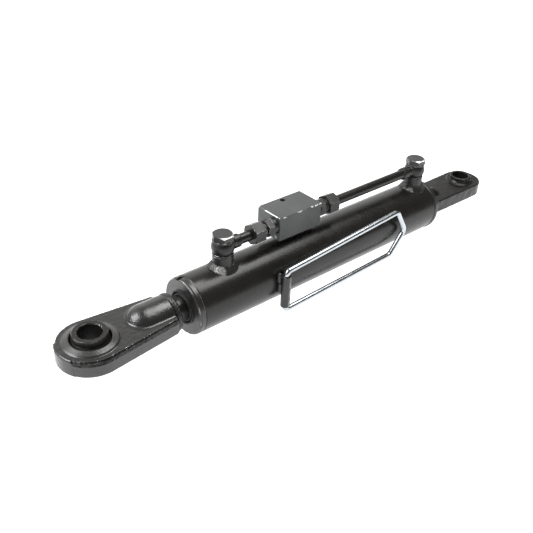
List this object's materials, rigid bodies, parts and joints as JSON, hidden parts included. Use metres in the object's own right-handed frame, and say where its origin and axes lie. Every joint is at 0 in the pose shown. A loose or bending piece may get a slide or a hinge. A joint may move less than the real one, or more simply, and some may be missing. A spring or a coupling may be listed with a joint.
{
  "type": "hydraulic top link cylinder",
  "caption": "Double-acting hydraulic cylinder with a ball eye at each end, piped lock valve on top and a hinged wire carrying bail.",
  "frame": {"origin": "centre of the base eye's bore", "axes": "+X from the rod eye to the base eye along the cylinder, +Z along both eye bores towards the side that the lock valve stands on"},
  "size_m": [0.6617, 0.0818, 0.1077],
  "materials": {
    "black_paint": "satin black paint",
    "valve_paint": "thin satin dark grey paint, worn at the edges",
    "ball_steel": "black paint over steel",
    "fitting_steel": "dark paint over zinc-plated steel",
    "rod_chrome": "hard chrome, overpainted black where it stands out at rest",
    "bare_steel": "machined",
    "zinc_wire": "bright zinc plating",
    "seal_rubber": "matt black",
    "seal_plastic": "matt"
  },
  "bodies": {
    "barrel": {"bail_sleeve": "black_paint", "bail_sleeve_welds": "black_paint", "barrel_tube": "black_paint", "base_cap": "black_paint", "base_cap_weld": "black_paint", "base_eye": "black_paint", "base_eye_weld": "black_paint", "base_side_banjo_body": "black_paint", "base_side_banjo_bolt": "fitting_steel", "base_side_banjo_washers": "fitting_steel", "base_side_check_seat": "bare_steel", "base_side_check_spring": "bare_steel", "base_side_cutting_ring": "bare_steel", "base_side_pipe": "black_paint", "base_side_port_boss": "black_paint", "base_side_port_weld": "black_paint", "base_side_tube_nut": "fitting_steel", "base_side_union_body": "fitting_steel", "base_side_union_seal": "seal_rubber", "block_plug": "bare_steel", "gland": "black_paint", "gland_o_ring": "seal_rubber", "rod_guide_ring": "seal_plastic", "rod_seal": "seal_plastic", "rod_side_banjo_body": "black_paint", "rod_side_banjo_bolt": "fitting_steel", "rod_side_banjo_washers": "fitting_steel", "rod_side_check_seat": "bare_steel", "rod_side_check_spring": "bare_steel", "rod_side_cutting_ring": "bare_steel", "rod_side_pipe": "black_paint", "rod_side_port_boss": "black_paint", "rod_side_port_weld": "black_paint", "rod_side_tube_nut": "fitting_steel", "rod_side_union_body": "fitting_steel", "rod_side_union_seal": "seal_rubber", "valve_block": "valve_paint", "wiper_seal": "seal_rubber"},
    "piston_rings": {"piston_seal": "seal_plastic", "piston_wear_rings": "seal_plastic"},
    "rod": {"piston_rod": "rod_chrome", "piston": "bare_steel", "piston_nut": "bare_steel", "piston_o_ring": "seal_rubber", "rod_eye": "black_paint", "rod_eye_weld": "black_paint"},
    "rod_eye_ball": {"rod_eye_ball": "ball_steel"},
    "base_eye_ball": {"base_eye_ball": "ball_steel"},
    "wire_bail": {"wire_bail": "zinc_wire"},
    "pilot_piston": {"pilot_piston": "bare_steel"},
    "rod_side_check_ball": {"rod_side_check_ball": "bare_steel"},
    "base_side_check_ball": {"base_side_check_ball": "bare_steel"}
  },
  "joints": [
    {"name": "rod_slide", "type": "slide", "parent": "barrel", "child": "piston_rings", "axis": [-1, 0, 0], "range_m": [0, 0.25]},
    {"name": "rod_turn", "type": "hinge", "parent": "piston_rings", "child": "rod", "pos_m": [-0.145, 0, 0], "axis": [1, 0, 0], "continuous": true},
    {"name": "rod_eye_ball_tilt", "type": "hinge", "parent": "rod", "child": "rod_eye_ball", "pos_m": [-0.595, 0, 0], "axis": [1, 0, 0], "range_deg": [-10, 10]},
    {"name": "base_eye_ball_tilt", "type": "hinge", "parent": "barrel", "child": "base_eye_ball", "pos_m": [0, 0, 0], "axis": [1, 0, 0], "range_deg": [-10, 10]},
    {"name": "bail_swing", "type": "hinge", "parent": "barrel", "child": "wire_bail", "pos_m": [-0.3709, -0.04, 0], "axis": [0, 0, -1], "range_deg": [0, 175]},
    {"name": "pilot_shift", "type": "slide", "parent": "barrel", "child": "pilot_piston", "axis": [1, 0, 0], "range_m": [0, 0.0015]},
    {"name": "base_side_check_lift", "type": "slide", "parent": "barrel", "child": "base_side_check_ball", "axis": [1, 0, 0], "range_m": [0, 0.0015], "stiffness_N_per_m": 200, "springref_m": -0.002, "deforming": ["base_side_check_spring"]},
    {"name": "rod_side_check_lift", "type": "slide", "parent": "barrel", "child": "rod_side_check_ball", "axis": [-1, 0, 0], "range_m": [0, 0.0015], "stiffness_N_per_m": 200, "springref_m": -0.002, "deforming": ["rod_side_check_spring"]}
  ],
  "couplings": [
    {"joint": "base_side_check_lift", "follows": "pilot_shift", "ratio": 1},
    {"joint": "rod_side_check_lift", "follows": "pilot_shift", "ratio": 1}
  ]
}
